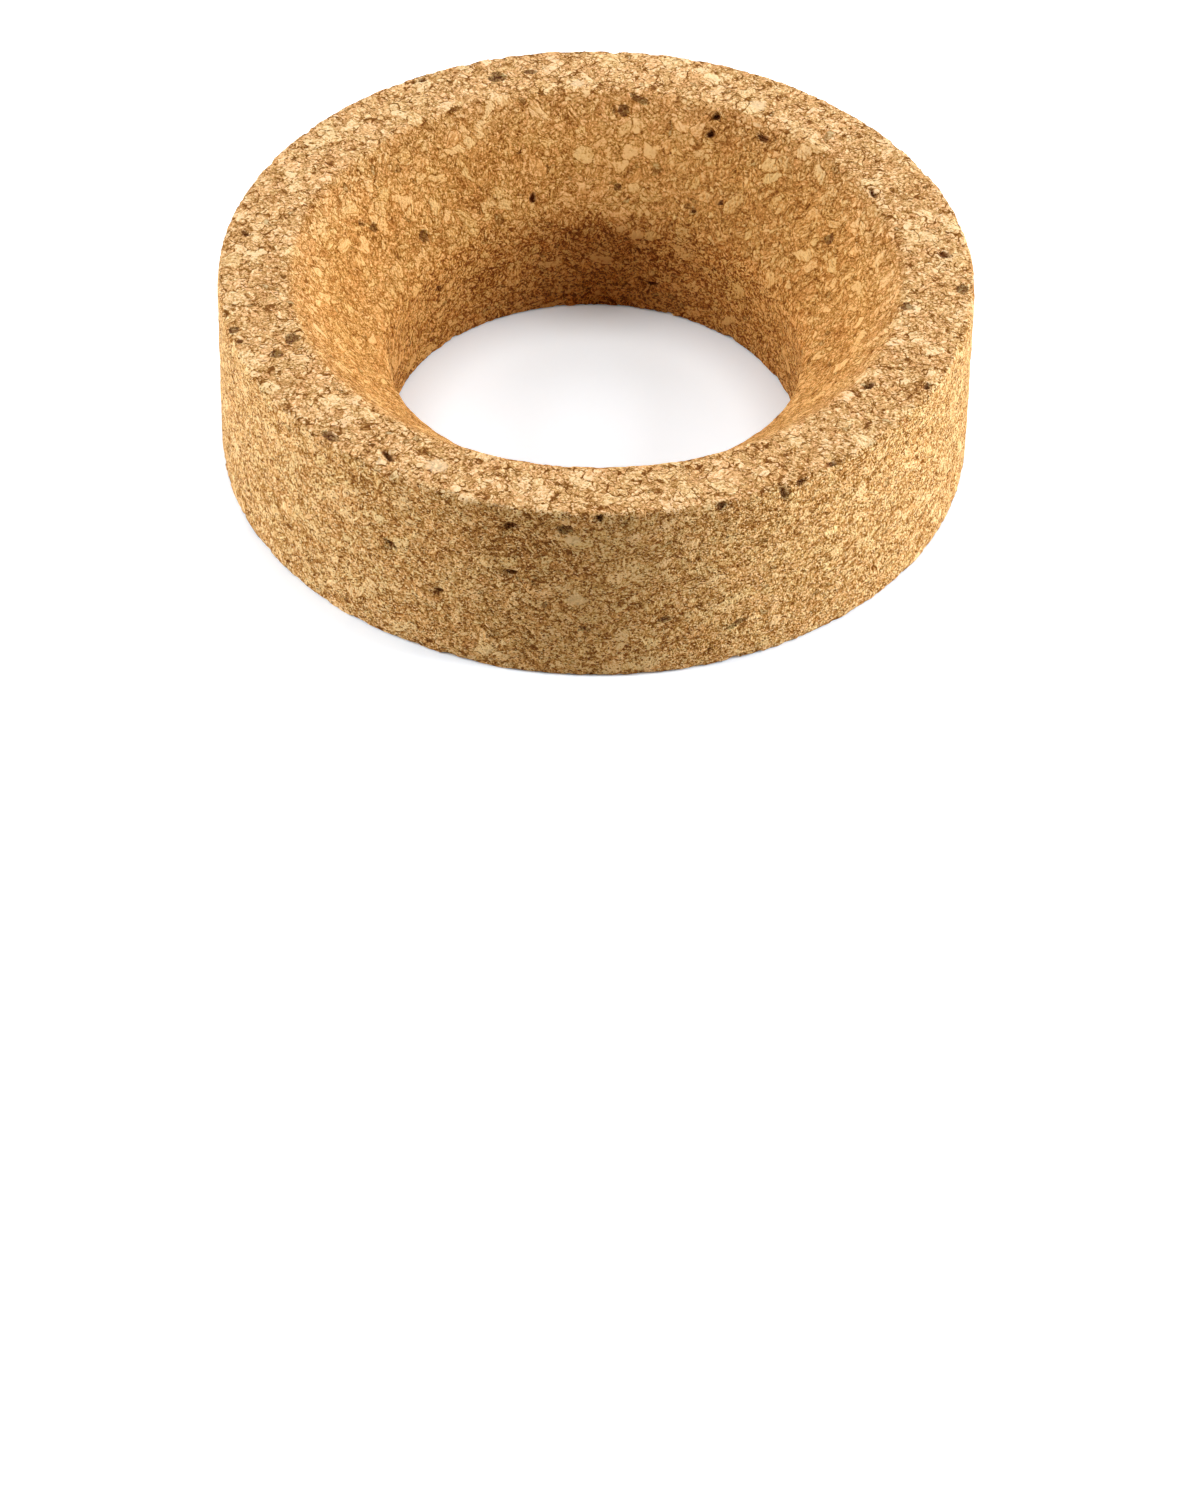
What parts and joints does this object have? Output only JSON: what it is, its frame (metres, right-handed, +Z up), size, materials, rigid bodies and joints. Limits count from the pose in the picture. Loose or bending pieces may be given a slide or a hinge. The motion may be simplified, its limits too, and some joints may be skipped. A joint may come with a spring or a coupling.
{
  "type": "flask ring",
  "caption": "Round ring of pressed cork with a sloping seat in its upper side and a straight bore below, holds a round-bottomed flask upright on the bench.",
  "frame": {"origin": "centre of the flat underside, on the axis of the bore", "axes": "+Z up along the axis of the bore, out of the seat; X and Y lie in the underside and are alike"},
  "size_m": [0.11, 0.11, 0.03],
  "materials": {
    "cork": "pressed cork granules, sawn and sanded, matt"
  },
  "bodies": {
    "root": {"cork_ring": "cork"}
  },
  "joints": []
}
